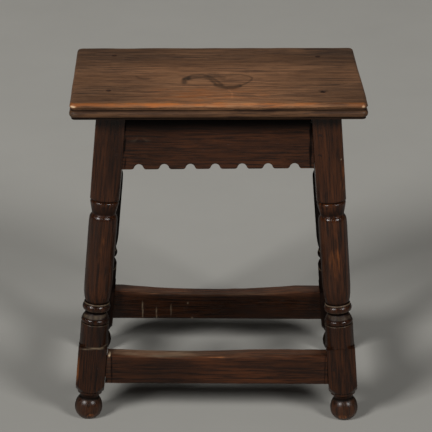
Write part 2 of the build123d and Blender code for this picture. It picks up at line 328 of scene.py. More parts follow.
def oak_material(colours, name, shades, streak_mm, roughness, bare, polish):
    """Oak with its figure along the timber, open pores, rubbed arrises and grime in the hollows.

    The grain attribute is a place in the timber's own frame, in metres, first number along it."""
    made = bpy.data.materials.new(name)
    made.use_nodes = True
    tree = made.node_tree
    tree.nodes.clear()
    dark, mid, light, rubbed_oak, grime_and_shade, pale_dust_and_sheen = (
        (*getattr(colours, shade), 1) for shade in (*shades, "rubbed", "grime_and_shade", "dust")
    )
    grain = add(tree, "ShaderNodeAttribute", attribute_name="grain").outputs["Vector"]
    rub, dirt, dust, shade = (
        add(tree, "ShaderNodeAttribute", attribute_name=look).outputs["Fac"]
        for look in ("rub", "dirt", "dust", "shade")
    )

    # Noises, each with features of a size in mm along the grain, across it and through it
    noises = []
    for size_mm, detail, fineness, distortion in (
        # Growth rings cut lengthwise: long streaks, about the 2 to 4 mm of the wood
        ((62, streak_mm, streak_mm), 6.0, 0.68, 0.2),
        # Broad clouds of tone
        ((150, 34, 34), 2.0, 0.5, 0.0),
        # Open pores, 0.3 mm wide in the wood and drawn 1.2 mm wide so that they show
        ((17, 1.25, 1.25), 2.0, 0.6, 0.0),
        # Rubbed places break up along the grain
        ((34, 4.5, 4.5), 3.0, 0.6, 0.0),
    ):
        scale = [1 / (s * MM) for s in size_mm]
        place = add(tree, VECTOR, (grain, scale), operation="MULTIPLY")
        noises.append(add(tree, "ShaderNodeTexNoise", {
            "Vector": place, "Scale": 1.0, "Detail": detail, "Roughness": fineness,
            "Distortion": distortion,
        }).outputs[0])
    streaks, cloud, pores, ragged = noises

    pore = add(tree, RANGE, (pores, 0.56, 0.7), **SMOOTH)
    edge = add(tree, MATH, (ragged, -0.5), operation="ADD")
    edge = add(tree, MATH, (edge, 1.1, rub), operation="MULTIPLY_ADD")
    settled_dust_and_sheen = add(tree, MATH, (edge, dust), operation="ADD")
    settled_dust_and_sheen = add(tree, MATH, (settled_dust_and_sheen, rub), operation="SUBTRACT")
    settled_dust_and_sheen = add(tree, MATH, (settled_dust_and_sheen, dust), operation="MULTIPLY")
    # Grime also stands for painted shade, and pale dust for painted highlights and reflections,
    # where the pieces' marks put them
    figure = dark
    for share, over in (
        (add(tree, RANGE, (streaks, 0.36, 0.64), **SMOOTH), light),
        (add(tree, RANGE, (cloud, 0.3, 0.7, 0.6, 0.15), **SMOOTH), mid),
        (add(tree, MATH, (pore, 0.55), operation="MULTIPLY"), dark),
        (add(tree, RANGE, (edge, 0.25, 0.85, 0.0, bare), **SMOOTH), rubbed_oak),
        (add(tree, RANGE, (dirt, 0.05, 0.95), **SMOOTH), grime_and_shade),
        (add(tree, RANGE, (settled_dust_and_sheen, 0.0, 1.0), **SMOOTH), pale_dust_and_sheen),
    ):
        figure = add(
            tree, "ShaderNodeMix", {0: share, 6: figure, 7: over}, data_type="RGBA"
        ).outputs[2]
    tone = add(tree, MATH, (shade, 1.0), operation="ADD").outputs[0]
    figure = add(tree, VECTOR, {0: figure, "Scale": tone}, operation="SCALE")

    rough = add(tree, RANGE, (cloud, 0.3, 0.7, roughness + 0.06, roughness - 0.04), **SMOOTH)
    for look, gain in ((pore, 0.18), (dirt, 0.35), (dust, 0.3)):
        rough = add(tree, MATH, (look, gain, rough), operation="MULTIPLY_ADD")
    relief = add(tree, MATH, (pore, -0.6, streaks), operation="MULTIPLY_ADD")
    bump = add(
        tree, "ShaderNodeBump", {"Strength": 0.55, "Distance": 0.25 * MM, "Height": relief})
    shine = add(tree, MATH, (dirt, -0.85 * polish, polish), operation="MULTIPLY_ADD")
    shader = add(tree, "ShaderNodeBsdfPrincipled", {
        "Base Color": figure, "Roughness": rough, "Normal": bump, "IOR": 1.5,
        "Specular IOR Level": shine,
    })
    add(tree, "ShaderNodeOutputMaterial", {"Surface": shader})
    return made


def finish_for(kind):
    """Each finish is made once and shared by every piece that has it."""
    name = FINISHES[kind][0]
    colours = bpy.context.scene.stool_finish
    return bpy.data.materials.get(name) or oak_material(colours, *FINISHES[kind])


# ---------------------------------------------------------------- legs


class Turning:
    """A turned outline from the floor up, in millimetres: points with rubbing, dirt and dust; on
    the drum's top edge the dust is a painted highlight, and on the ledge it is partly a painted
    reflection.
    """

    # Radius of the widest members, from which depths are taken
    largest = 23.12

    def __init__(self, radius, height):
        self.points = [(radius, height, 0.0, 0.0, 0.0)]

    @property
    def radius(self):
        return self.points[-1][0]

    @property
    def height(self):
        return self.points[-1][1]

    def run(self, radii, heights, rub=0.0, dirt=0.0, dust=0.0):
        """Points one after another, with each look as a number or one for each point."""
        looks = [np.broadcast_to(look, len(radii)) for look in (rub, dirt, dust)]
        self.points += [tuple(float(v) for v in row) for row in zip(radii, heights, *looks)]

    def to(self, radius, height, step, **looks):
        """Straight on, in steps of about that many millimetres."""
        span = math.hypot(radius - self.radius, height - self.height)
        share = np.linspace(0, 1, max(2, int(span / step) + 2))[1:]
        self.run(
            self.radius + (radius - self.radius) * share,
            self.height + (height - self.height) * share, **looks,
        )

    def up(self, rise, step=2.5, **looks):
        self.to(self.radius, self.height + rise, step, **looks)

    def step(self, depth, **looks):
        """Square in or out, to a depth inside the largest radius."""
        self.to(self.largest - depth, self.height, 0.8, **looks)

    def bow(self, radius, rise, swell, count=12, **looks):
        """A shallow arc that stands out from its chord by swell, or hollows if below 0."""
        share = np.linspace(0, 1, count + 1)[1:]
        out = 4 * swell * share * (1 - share)
        chord = math.hypot(radius - self.radius, rise)
        along, off = (radius - self.radius) / chord, rise / chord
        self.run(
            self.radius + (radius - self.radius) * share + out * off,
            self.height + rise * share - out * along, **looks,
        )

    def roll(self, crest_depth, low_angle, high_angle, bulge, rise, count=12, rub=0.15, **looks):
        """A rounded bead: part of an ellipse from one angle to another about its crest."""
        angle = np.radians(np.linspace(low_angle, high_angle, count + 1))
        span = math.sin(angle[-1]) - math.sin(angle[0])
        half = rise / span
        base = self.largest - crest_depth - bulge
        middle = self.height - half * math.sin(angle[0])
        self.run(
            base + bulge * np.cos(angle), middle + half * np.sin(angle),
            rub=rub * np.cos(angle) ** 2, **looks,
        )

    def quarter(self, radius, rise, leaves_upright, count=10, **looks):
        """A quarter of an ellipse that starts, or else ends, straight up the leg."""
        angle = np.linspace(0, math.pi / 2, count + 1)[1:]
        sine, cosine = np.sin(angle), np.cos(angle)
        across = 1 - cosine if leaves_upright else sine
        along = sine if leaves_upright else 1 - cosine
        self.run(
            self.radius + (radius - self.radius) * across, self.height + rise * along, **looks
        )


def leg_outline():
    """The turned members of a leg, in millimetres along it, close to the solid that it covers."""
    corner = LEG_STOCK / MM / 2 * math.sqrt(2)
    clear = LEG_STOCK / MM
    leg_length = LEG_LENGTH / MM
    upright = LEG_LENGTH / SEAT_LOW
    largest = Turning.largest
    ball, ball_centre, neck, shoulder = largest - 0.4, 18.0, largest - 7.6, 0.72
    collar_high, block_high, ledge_high, column_high = 44.6, 130.1, 190.7, 336.0

    # The ball is a little full above its middle
    line = Turning(0.0, ball_centre - ball)
    angle = np.linspace(-math.pi / 2, math.acos((neck / ball) ** (1 / shoulder)), 40)[1:]
    line.run(
        ball * np.where(angle > 0, np.cos(angle) ** shoulder, np.cos(angle)),
        ball_centre + ball * np.sin(angle),
        rub=0.1 * np.cos(angle) ** 2, dirt=ease(angle, 0.7, 0.9), dust=0.28,
    )
    line.up(1.0, 0.5, dirt=0.9)
    line.quarter(largest - 3.0, collar_high - line.height, True, dirt=np.linspace(0.6, 0.0, 10))
    line.up(2.5, 0.8, rub=0.2)
    line.bow(corner, 19.0, 1.3, 24)
    line.to(clear, line.height, 3.0)
    line.to(clear, block_high, 3.0)
    line.to(largest, line.height, 3.0, dirt=0.3)

    # Drum, bead and the ledge above it
    line.up(37.3, 2.5)
    # Pale dust on the drum's rounded top edge is a painted highlight, a fine bright line
    line.bow(largest - 1.1, 0.8, 0.25, 4, dust=0.6)
    line.up(1.2, 0.4, dirt=1.0)
    line.roll(0.0, -55, 60, 3.4, 8.0, 14)
    line.to(largest - 1.6, line.height + 1.4, 0.7, dirt=0.5)
    # Pale dust on the sloping ledge is partly a painted grey reflection of the light above
    line.bow(largest - 6.1, 7.2, 0.1, 10, dirt=0.5, dust=0.12)

    # Grooved ring
    line.step(6.9, dirt=0.9)
    line.up(ledge_high - line.height, 0.6, dirt=1.0)
    line.step(4.8, dirt=0.6)
    line.roll(0.5, -70, 55, 4.2, 10.2, 16, dust=0.5 * ease(-arc(-70, 55, 16), 5, 45))
    line.up(1.1, 0.4, dirt=0.9)
    line.roll(2.4, -40, 60, 1.0, 2.2, 6, rub=0.1, dust=0.62)

    # Column
    line.step(5.2, dirt=0.8)
    line.up(1.5, 0.6, dirt=0.7)
    line.quarter(largest - 0.5, 34.0, False, count=18, dirt=np.linspace(0.4, 0.0, 18))
    line.to(largest, column_high, 2.5)
    line.bow(largest - 0.4, 10.8, 0.1, 8)
    line.bow(largest - 3.9, 9.0, 0.95, 14)

    # Waist, flank and bead
    line.up(1.8, 0.6, dirt=0.4)
    line.bow(largest - 0.25, 16.6, 0.12, 14, dirt=np.linspace(0.6, 0.2, 14))
    line.roll(0.0, -20, 68, 4.2, 5.4, 12)
    line.up(1.0, 0.4, dirt=1.0)

    # Turned-off corners of the upper block
    line.quarter(27.3, 5.0, False, count=8, dirt=np.linspace(0.7, 0.0, 8))
    line.bow(corner, (APRON_LOW / MM - 6.0) * upright - line.height, -1.0, 44)
    line.to(clear, line.height, 3.0)
    line.to(clear, leg_length, 3.0)
    line.to(0.0, leg_length, 4.0)
    return np.array(line.points)


def outline_object():
    """The leg's outline as a chain of vertices in metres, radius along X and height along Z."""
    points = leg_outline()
    chain = [(r * MM, 0, h * MM) for r, h, *_ in points]
    made = mesh_object("leg_outline", chain, [])
    for column, look in enumerate(("rub", "dirt", "dust"), 2):
        attribute(made, look, points[:, column])
    return made


def turned_leg_tree():
    """Sweeps the outline round a leg's raked axis, never further out than its square stock."""
    tree, given, out = new_tree("Turned leg", {
        "Outline": "Object", "Foot": "Vector", "Rake": "Vector", "Stock": "Float",
        "Arris loss": "Float", "Hand work": "Float", "Upright above": "Float", "Sides": "Int",
        "Rubbed corner": "Vector", "Seed": "Float", "Material": "Material",
    })

    # One column of the grid for each side, one row for each point of the outline
    outline = add(tree, "GeometryNodeObjectInfo", {"Object": given["Outline"]}).outputs["Geometry"]
    rows = add(
        tree, "GeometryNodeAttributeDomainSize", {"Geometry": outline}).outputs["Point Count"]
    columns = add(tree, MATH, (given["Sides"], 1), operation="ADD")
    grid = add(tree, "GeometryNodeMeshGrid", {"Vertices X": columns, "Vertices Y": rows})
    place = add(tree, SPLIT, (grid.outputs["UV Map"],)).outputs
    last_row = add(tree, MATH, (rows, 1), operation="SUBTRACT")
    row = add(tree, MATH, (place["Y"], last_row), operation="MULTIPLY")
    row = add(tree, MATH, (row,), operation="ROUND")
    turn = add(tree, MATH, (place["X"], math.tau), operation="MULTIPLY")
    cosine = add(tree, MATH, (turn,), operation="COSINE")
    sine = add(tree, MATH, (turn,), operation="SINE")
    looks = {
        look: add(tree, "GeometryNodeSampleIndex", {
            "Geometry": outline, "Index": row, "Value": add(
                tree, "GeometryNodeInputNamedAttribute", {"Name": look}, data_type="FLOAT"),
        }, data_type="FLOAT")
        for look in ("rub", "dirt", "dust")
    }
    member = add(tree, SPLIT, (add(tree, "GeometryNodeSampleIndex", {
        "Geometry": outline, "Value": add(tree, "GeometryNodeInputPosition"), "Index": row,
    }, data_type="FLOAT_VECTOR"),)).outputs
    turned_radius, height = member["X"], member["Z"]

    # Direction out from the axis, and how far the stock reaches that way
    axis = add(tree, VECTOR, (given["Rake"],), operation="NORMALIZE")
    round_about = add(tree, JOIN, (cosine, sine))
    tilt = add(tree, "FunctionNodeAlignRotationToVector", {"Vector": axis}, axis="Z")
    outwards = add(tree, "FunctionNodeRotateVector", {"Vector": round_about, "Rotation": tilt})
    climb = add(
        tree, MATH,
        (add(tree, SPLIT, (outwards,)).outputs["Z"], add(tree, SPLIT, (axis,)).outputs["Z"]),
        operation="DIVIDE",
    ).outputs[0]
    level = add(tree, VECTOR, {0: axis, "Scale": climb}, operation="SCALE")
    level = add(tree, VECTOR, (outwards, level), operation="SUBTRACT")
    reach = add(tree, SPLIT, (add(tree, VECTOR, (level,), operation="ABSOLUTE"),)).outputs
    seeded = add(tree, VECTOR, {0: level, "Scale": 0.03}, operation="SCALE")
    seeded = add(
        tree, VECTOR, (seeded, add(tree, JOIN, {0: given["Seed"], 2: height})), operation="ADD")
    wear_wander, hand_wander = (
        add(tree, MATH, (add(
            tree, "ShaderNodeTexNoise", {"Vector": seeded, "Scale": scale, "Detail": 2.0}), 0.5,
        ), operation="SUBTRACT")
        for scale in (60.0, 38.0)
    )

    # The smooth maximum rounds the stock's corner: it takes off a sixth of its distance
    wear = add(tree, MATH, (wear_wander, 2.4, 1.0), operation="MULTIPLY_ADD")
    loss = add(tree, MATH, (given["Arris loss"], wear), operation="MULTIPLY")
    loss = add(tree, MATH, (loss, given["Stock"]), operation="DIVIDE")
    rounding = add(tree, MATH, (loss, 0.002), operation="MAXIMUM")
    rounding = add(tree, MATH, (rounding, 6.0), operation="MULTIPLY")
    widest = add(tree, MATH, (reach["X"], reach["Y"], rounding), operation="SMOOTH_MAX")
    half_stock = add(tree, MATH, (given["Stock"], 0.5), operation="MULTIPLY")
    square_radius = add(tree, MATH, (half_stock, widest), operation="DIVIDE")
    radius = add(tree, MATH, (turned_radius, square_radius, 1.2 * MM), operation="SMOOTH_MIN")

    # Hand work dies out at the two ends of the axis, so that each closes in one point
    off_axis = add(tree, MATH, (turned_radius, MM), operation="DIVIDE")
    off_axis = add(tree, MATH, (off_axis, 1.0), operation="MINIMUM")
    hand = add(tree, MATH, (given["Hand work"], off_axis), operation="MULTIPLY")
    hand = add(tree, MATH, (hand_wander, hand), operation="MULTIPLY")
    radius = add(tree, MATH, (radius, hand), operation="ADD")
    radius = add(tree, MATH, (radius, square_radius), operation="MINIMUM")
    radius = add(tree, MATH, (radius, 0.0), operation="MAXIMUM").outputs[0]

    # Rings lie square to the axis where the leg is turned, and level where it is cut off
    full = add(tree, VECTOR, (given["Rake"],), operation="LENGTH").outputs["Value"]
    upright = add(tree, RANGE, (height, given["Upright above"], full), **SMOOTH)
    straighten = add(tree, MATH, (radius, climb), operation="MULTIPLY")
    straighten = add(tree, MATH, (straighten, upright), operation="MULTIPLY")
    along = add(tree, MATH, (height, straighten), operation="SUBTRACT").outputs[0]
    on_axis = add(tree, VECTOR, {0: axis, "Scale": along}, operation="SCALE")
    ring = add(tree, VECTOR, {0: outwards, "Scale": radius}, operation="SCALE")
    point = add(tree, VECTOR, (given["Foot"], on_axis), operation="ADD")
    point = add(tree, VECTOR, (point, ring), operation="ADD")
    point = add(tree, VECTOR, (point, (-9.0, -9.0, 0.0)), operation="MAXIMUM")
    shaped = add(tree, "GeometryNodeSetPosition", {"Geometry": grid, "Position": point})

    # What the finish reads: the timber's own frame, rubbed arrises and beads, and dirt
    arris = add(tree, RANGE, (radius, 29.0 * MM, 32.6 * MM), **SMOOTH)
    facing = add(
        tree, VECTOR, (outwards, given["Rubbed corner"]), operation="DOT_PRODUCT",
    ).outputs["Value"]
    facing = add(tree, RANGE, (facing, 0.6, 0.9, 0.08, 0.32))
    arris = add(tree, MATH, (arris, facing), operation="MULTIPLY")
    rubbed = add(tree, MATH, (looks["rub"], arris), operation="MAXIMUM")
    # Hands and polish reach the front and back of a leg; its sides stay dull
    sides = add(tree, RANGE, (reach["X"], 0.8, 1.0, 0.0, 0.6))
    soiled = add(tree, MATH, (looks["dirt"], sides), operation="MAXIMUM")
    timber = add(tree, JOIN, (
        height,
        add(tree, MATH, (cosine, radius), operation="MULTIPLY"),
        add(tree, MATH, (sine, radius), operation="MULTIPLY"),
    ))
    apart = add(
        tree, VECTOR, {0: (1.0, 0.37, 0.11), "Scale": given["Seed"]}, operation="SCALE")
    timber = add(tree, VECTOR, (timber, apart), operation="ADD")
    for name, value, kind in (
        ("grain", timber, "FLOAT_VECTOR"), ("rub", rubbed, "FLOAT"), ("dirt", soiled, "FLOAT"),
        ("dust", looks["dust"], "FLOAT"),
    ):
        shaped = add(
            tree, "GeometryNodeStoreNamedAttribute",
            {"Geometry": shaped, "Name": name, "Value": value}, data_type=kind, domain="POINT",
        )
    merged = add(
        tree, "GeometryNodeMergeByDistance", {"Geometry": shaped, "Distance": 0.01 * MM})
    real = add(tree, "GeometryNodeRealizeInstances", {"Geometry": merged})
    covered = add(
        tree, "GeometryNodeSetMaterial", {"Geometry": real, "Material": given["Material"]})
    tree.links.new(covered.outputs[0], out.inputs[0])
    return tree


class STOOL_OT_legs(Operator):
    """Turned and raked legs, swept by Geometry Nodes from one outline"""

    bl_idname = "stool.legs"
    bl_label = "Turned legs"

    # How far, in millimetres, a foot and the top above it stand off true to the stool's right
    strays = {"front_left": (-1.3, 1.0), "front_right": (0.0, 0.9)}

    def execute(self, context):
        sizes = context.scene.stool_leg
        tree = turned_leg_tree()
        outline = outline_object()
        for seed, (corner, (sx, sy)) in enumerate(CORNERS.items(), 1):
            foot_out, top_out = self.strays.get(corner, (0.0, 0.0))
            foot = Vector((sx * LEG_FLOOR_CENTRE[0] + foot_out * MM, sy * LEG_FLOOR_CENTRE[1], 0.0))
            rake = Vector((
                sx * LEG_RAKE.x + (top_out - foot_out) * MM, sy * LEG_RAKE.y, LEG_RAKE.z))
            piece = grown(f"turned_leg_{corner}", tree, {
                "Outline": outline, "Foot": foot, "Rake": rake, "Stock": LEG_STOCK,
                "Arris loss": sizes.arris, "Hand work": sizes.tool_marks,
                "Upright above": APRON_LOW, "Sides": sizes.sides, "Seed": float(seed),
                "Rubbed corner": Vector((sx, sy, 0)).normalized(),
                "Material": finish_for("frame"),
            })
            seated(piece, f"leg_{corner}", 50)
        bpy.data.objects.remove(outline)
        bpy.data.node_groups.remove(tree)
        return {"FINISHED"}


# ---------------------------------------------------------------- rails


def leg_centre(z):
    """How far a leg's axis stands from the middle, along X and along Y, at a height."""
    share = np.asarray(z) / SEAT_LOW
    return tuple(f + (t - f) * share for t, f in zip(LEG_TOP_CENTRE, LEG_FLOOR_CENTRE))


class RailFrame:
    """One rail drawn as the front one, then turned to its own side of the stool."""

    def __init__(self, side, setback, thickness):
        self.turn = math.radians(SIDES[side])
        self.swap = side in ("left", "right")
        self.setback = setback
        self.thickness = thickness

    def half_span(self, z):
        """Half of the rail's length between the legs, at a height."""
        x, y = leg_centre(z)
        return (y if self.swap else x) - LEG_STOCK / 2

    def points(self, share, z, depth, beyond=0.0):
        """Places from a share of the half span, a height and a depth behind the rail's face."""
        x, y = leg_centre(z)
        across = x if self.swap else y
        along = share * self.half_span(z) + beyond
        back = -across - LEG_STOCK / 2 + self.setback + depth
        cos, sin = math.cos(self.turn), math.sin(self.turn)
        return np.stack([along * cos - back * sin, along * sin + back * cos, z], -1)


def rounded_rail(shape, bottom, bottom_normal, top, arrises, tenon, waviness, seed):
    """Loops round a rail, one for each place along its bottom edge, closed by a tenon at each end.

    bottom is (along, height) rows, arrises the radii at bottom front, top front, top back and
    bottom back for each row, and tenon its (bottom, top, front depth, back depth, reach)."""
    steps, face_rows, thickness_rows = 4, 12, 4
    low_front, high_front, high_back, low_back = arrises
    thick = shape.thickness
    angle = np.linspace(0, math.pi / 2, steps + 1)
    loops = []

    def along_bottom(offset, depth, rub):
        """The bottom edge moved up its own normal by an offset."""
        x = bottom[:, 0] + bottom_normal[:, 0] * offset
        z = bottom[:, 1] + bottom_normal[:, 1] * offset
        loops.append((x / shape.half_span(z), z, np.broadcast_to(depth, z.shape), rub))

    def along_top(drop, depth, rub):
        z = top - drop
        share = bottom[:, 0] / shape.half_span(bottom[:, 1])
        loops.append((share, z, np.broadcast_to(depth, z.shape), rub))

    def across_face(end_share, end_z, depth):
        """From the last loop to where the next arris starts."""
        share, z = loops[-1][:2]
        for rise in arc(0, 1, face_rows)[1:-1]:
            loops.append((
                share + (end_share - share) * rise, z + (end_z - z) * rise,
                np.full_like(z, depth), 0.0,
            ))

    for a in angle:
        along_bottom(low_front * (1 - math.cos(a)), low_front * (1 - math.sin(a)), math.sin(2 * a))
    across_face(bottom[:, 0] / shape.half_span(bottom[:, 1]), top - high_front, 0.0)
    for a in angle:
        along_top(high_front * (1 - math.sin(a)), high_front * (1 - math.cos(a)), math.sin(2 * a))
    for i in range(1, thickness_rows):
        share = i / thickness_rows
        along_top(0.0, high_front + (thick - high_front - high_back) * share, 0.0)
    for a in angle[::-1]:
        along_top(
            high_back * (1 - math.sin(a)), thick - high_back * (1 - math.cos(a)), math.sin(2 * a)
        )
    end_x = bottom[:, 0] + bottom_normal[:, 0] * low_back
    end_z = bottom[:, 1] + bottom_normal[:, 1] * low_back
    across_face(end_x / shape.half_span(end_z), end_z, thick)
    for a in angle[::-1]:
        along_bottom(
            low_back * (1 - math.cos(a)), thick - low_back * (1 - math.sin(a)), math.sin(2 * a)
        )
    for i in range(1, thickness_rows):
        share = 1 - i / thickness_rows
        along_bottom(0.0, low_front + (thick - low_front - low_back) * share, 0.0)

    share = np.stack([loop[0] for loop in loops], 1)
    z = np.stack([loop[1] for loop in loops], 1)
    depth = np.stack([loop[2] for loop in loops], 1)
    rub = np.stack([np.broadcast_to(loop[3], z.shape[0]) for loop in loops], 1)
    ring = z.shape[1]

    # Hand-worked faces: each stays inside the sawn size
    flat = np.stack([share * shape.half_span(z), depth, z], -1).reshape(-1, 3)
    stray = roughly(flat, (70 * MM, 30 * MM, 26 * MM), seed).reshape(z.shape)
    stray = waviness * (0.5 + 0.5 * stray) * ease(1 - abs(share), 0.0, 0.03)
    outwards = np.clip((depth - thick / 2) / (thick / 2), -1, 1)
    depth = depth - outwards**3 * stray
    rub = rub * (0.5 + 0.5 * roughly(flat, (30 * MM, 9 * MM, 9 * MM), seed + 1).reshape(z.shape))

    # Tenons: the end loops drawn in to the tenon's section, then run into the leg
    tenon_low, tenon_high, tenon_front, tenon_back, reach = tenon
    blocks = [shape.points(share, z, depth)]
    for side, end in ((-1, 0), (1, -1)):
        inner_z = np.clip(z[end], tenon_low, tenon_high)
        inner_depth = np.clip(depth[end], tenon_front, tenon_back)
        shoulder = shape.points(np.full(ring, float(side)), inner_z, inner_depth)
        tip = shape.points(np.full(ring, float(side)), inner_z, inner_depth, side * reach)
        extra = np.stack([shoulder, tip])
        blocks = [extra[::-1]] + blocks if side < 0 else blocks + [extra]
    points = np.concatenate(blocks)
    total = points.shape[0]
    flat_rub = np.zeros((total, ring))
    flat_rub[2:-2] = rub
    faces = bands(total, ring)
    faces += [tuple(range(ring)), tuple(range(total * ring - ring, total * ring))]
    tenon_grain = np.zeros((2, ring, 3))
    along_rail = np.stack([share * shape.half_span(z), z, depth], -1)
    grain = np.concatenate([tenon_grain, along_rail, tenon_grain])
    grain = grain.reshape(-1, 3) + np.array([1.0, 0.53, 0.29]) * (seed + 10)
    return points.reshape(-1, 3), faces, grain, flat_rub.reshape(-1)


# How far each cut-out was sawn off the pitch, in millimetres, left to right
SAWN_OFF = {"front": (-0.3, -0.9, -0.6, -2.0, -0.6, -0.6, 0.2)}


def scalloped_edge(shape, low, pitch, rise, crest, flare, shift, side):
    """The lower edge of an apron as (along, height) rows with its normals, left to right."""
    both = crest + flare
    swing = math.acos((both - rise) / both)
    reach = both * math.sin(swing)
    half = float(shape.half_span(low))
    count = int(2 * half / pitch)
    rows = []

    def straight(start, end):
        for x in np.linspace(start, end, max(2, int((end - start) / (2.5 * MM)) + 1)):
            rows.append((x, low, 0.0, 1.0))

    last = -half
    for i in range(count):
        middle = shift + (i - (count - 1) / 2) * pitch
        middle += SAWN_OFF.get(side, (0.0,) * count)[i] * MM
        straight(last, middle - reach)
        for a in arc(0, swing, 5)[1:]:
            rows.append((middle - reach + flare * math.sin(a), low + flare * (1 - math.cos(a)),
                         -math.sin(a), math.cos(a)))
        for a in arc(-swing, swing, 12)[1:-1]:
            rows.append((middle + crest * math.sin(a), low + rise - crest + crest * math.cos(a),
                         math.sin(a), math.cos(a)))
        for a in arc(swing, 0, 5)[:-1]:
            rows.append((middle + reach - flare * math.sin(a), low + flare * (1 - math.cos(a)),
                         math.sin(a), math.cos(a)))
        last = middle + reach
    straight(last, half)
    rows = np.array(rows)
    return rows[:, :2], rows[:, 2:]


def rail_object(name, made, rubbing):
    """A rail from its points, faces, grain and rub, with that share of the rub on its edges."""
    points, faces, grain, rub = made
    piece = mesh_object(name, points, faces)
    attribute(piece, "grain", grain)
    attribute(piece, "rub", rub * rubbing)
    return piece


class STOOL_OT_aprons(Operator):
    """Scalloped aprons, tenoned into the legs under the seat"""

    bl_idname = "stool.aprons"
    bl_label = "Scalloped aprons"

    setback, thickness = 3 * MM, 20 * MM
    # The cut-outs: their spacing, height, round top, flared foot, and shift along the rail
    pitch, rise, crest, flare, shift = (v * MM for v in (41, 8.6, 7.6, 4.6, -2))
    # How far, in millimetres, a lower edge was sawn off true at its middle, and its slope
    askew = {"front": (-0.6, 0.0125)}
    # Bottom, top, front, back and length
    tenon = (APRON_LOW + 8 * MM, APRON_TOP - 24 * MM, 8 * MM, 17 * MM, 24 * MM)

    def execute(self, context):
        sizes = context.scene.stool_rail
        for seed, side in enumerate(SIDES, 1):
            shape = RailFrame(side, self.setback, self.thickness)
            edge, normals = scalloped_edge(
                shape, APRON_LOW, self.pitch, self.rise, self.crest, self.flare, self.shift, side)
            lift, slope = self.askew.get(side, (0.0, 0.0))
            edge[:, 1] += lift * MM + slope * edge[:, 0]
            count = len(edge)
            top = np.full(count, APRON_TOP)
            arris = sizes.arris * (1 + 0.5 * roughly(
                np.stack([edge[:, 0], edge[:, 1], edge[:, 1]], -1), 16 * MM, seed))
            sound = np.full(count, sizes.arris)
            made = rounded_rail(
                shape, edge, normals, top, (arris, sound, sound, sound), self.tenon,
                sizes.waviness, seed,
            )
            piece = rail_object(f"scalloped_apron_{side}", made, 0.25)
            piece.data.materials.append(finish_for("frame"))
            co = made[0]
            # Painted shade: grime darkens and dulls the top of each apron, in the band where the
            # seat's overhang casts its shadow
            attribute(piece, "dirt", ease(co[:, 2], APRON_TOP - 50 * MM, APRON_TOP - 8 * MM))
            seated(piece, f"apron_{side}")
        return {"FINISHED"}


class STOOL_OT_stretchers(Operator):
    """Low stretchers, worn hollow by feet along the top"""

    bl_idname = "stool.stretchers"
    bl_label = "Worn stretchers"

    setback, shoulder = 2 * MM, 8 * MM
    # Front, back and length
    tenon = (8 * MM, 17 * MM, 25 * MM)
    # The ends are seen less, so their mesh is coarser
    long_step, end_step = 1.2 * MM, 4 * MM
    # Height, thickness, and the hollow's middle, length and depth, in millimetres
    timbers = {
        "front": (50, 25, -60, 250, 3.7),
        "back": (55, 29, 15, 310, 7.0),
        "left": (50, 25, 0, 120, 2.0),
        "right": (50, 25, 0, 120, 2.0),
    }

    def execute(self, context):
        sizes = context.scene.stool_rail
        for seed, (side, timber) in enumerate(self.timbers.items(), 5):
            height, thickness, middle, long, deep = (v * MM for v in timber)
            is_long = side in ("front", "back")
            shape = RailFrame(side, self.setback, thickness)
            high = STRETCHER_TOP
            low = high - height
            half = float(shape.half_span(low))
            step = self.long_step if is_long else self.end_step
            along = np.linspace(-half, half, int(2 * half / step) + 1)
            edge = np.stack([along, np.full_like(along, low)], -1)
            normals = np.stack([np.zeros_like(along), np.ones_like(along)], -1)
            worn = np.clip(1 - ((along - middle) / (long / 2)) ** 2, 0, 1)
            ragged = roughly(np.stack([along, along * 0, along * 0], -1), 22 * MM, seed)
            top = high - deep * worn - 0.4 * MM * (0.5 + 0.5 * ragged) * (1 - worn)
            rubbed = sizes.arris + (sizes.worn_arris - sizes.arris) * worn * (0.8 + 0.3 * ragged)
            rubbed = rubbed * (1.0 if is_long else 0.5)
            sound = np.full_like(along, sizes.arris) * (1 + 0.4 * ragged)
            tenon = (low + self.shoulder, high - self.shoulder, *self.tenon)
            made = rounded_rail(
                shape, edge, normals, top, (sound, rubbed, sound * 1.3, sound), tenon,
                sizes.waviness, seed,
            )
            piece = rail_object(f"worn_stretcher_{side}", made, 0.45)
            piece.data.materials.append(finish_for("frame"))
            attribute(piece, "dirt", np.zeros(len(made[0])))
            seated(piece, f"stretcher_{side}")
        return {"FINISHED"}


# ---------------------------------------------------------------- seat


def rounded_rectangle(sizes):
    """Stations round the plank: the centre each is struck from, and its direction outwards."""
    turns = 8
    half_x = sizes.length / 2 - sizes.corner
    half_y = sizes.width / 2 - sizes.corner
    long_count = int(2 * half_x / sizes.mesh_step)
    short_count = int(2 * half_y / sizes.mesh_step)
    centres, ways = [], []
    corners = [(-1, -1, 225), (1, -1, 315), (1, 1, 45), (-1, 1, 135)]
    for i, (sx, sy, middle) in enumerate(corners):
        centre = np.array([sx * half_x, sy * half_y])
        for a in np.radians(middle + np.linspace(0, 45, turns // 2 + 1)):
            centres.append(centre)
            ways.append((math.cos(a), math.sin(a)))
        nx, ny, _ = corners[(i + 1) % 4]
        following = np.array([nx * half_x, ny * half_y])
        count = long_count if i % 2 == 0 else short_count
        for share in np.linspace(0, 1, count + 1)[1:]:
            centres.append(centre + (following - centre) * share)
            ways.append(ways[-1])
        for a in np.radians(middle + 90 - np.linspace(45, 0, turns // 2 + 1))[1:-1]:
            centres.append(following)
            ways.append((math.cos(a), math.sin(a)))
    return np.array(centres), np.array(ways), long_count + turns, short_count + turns


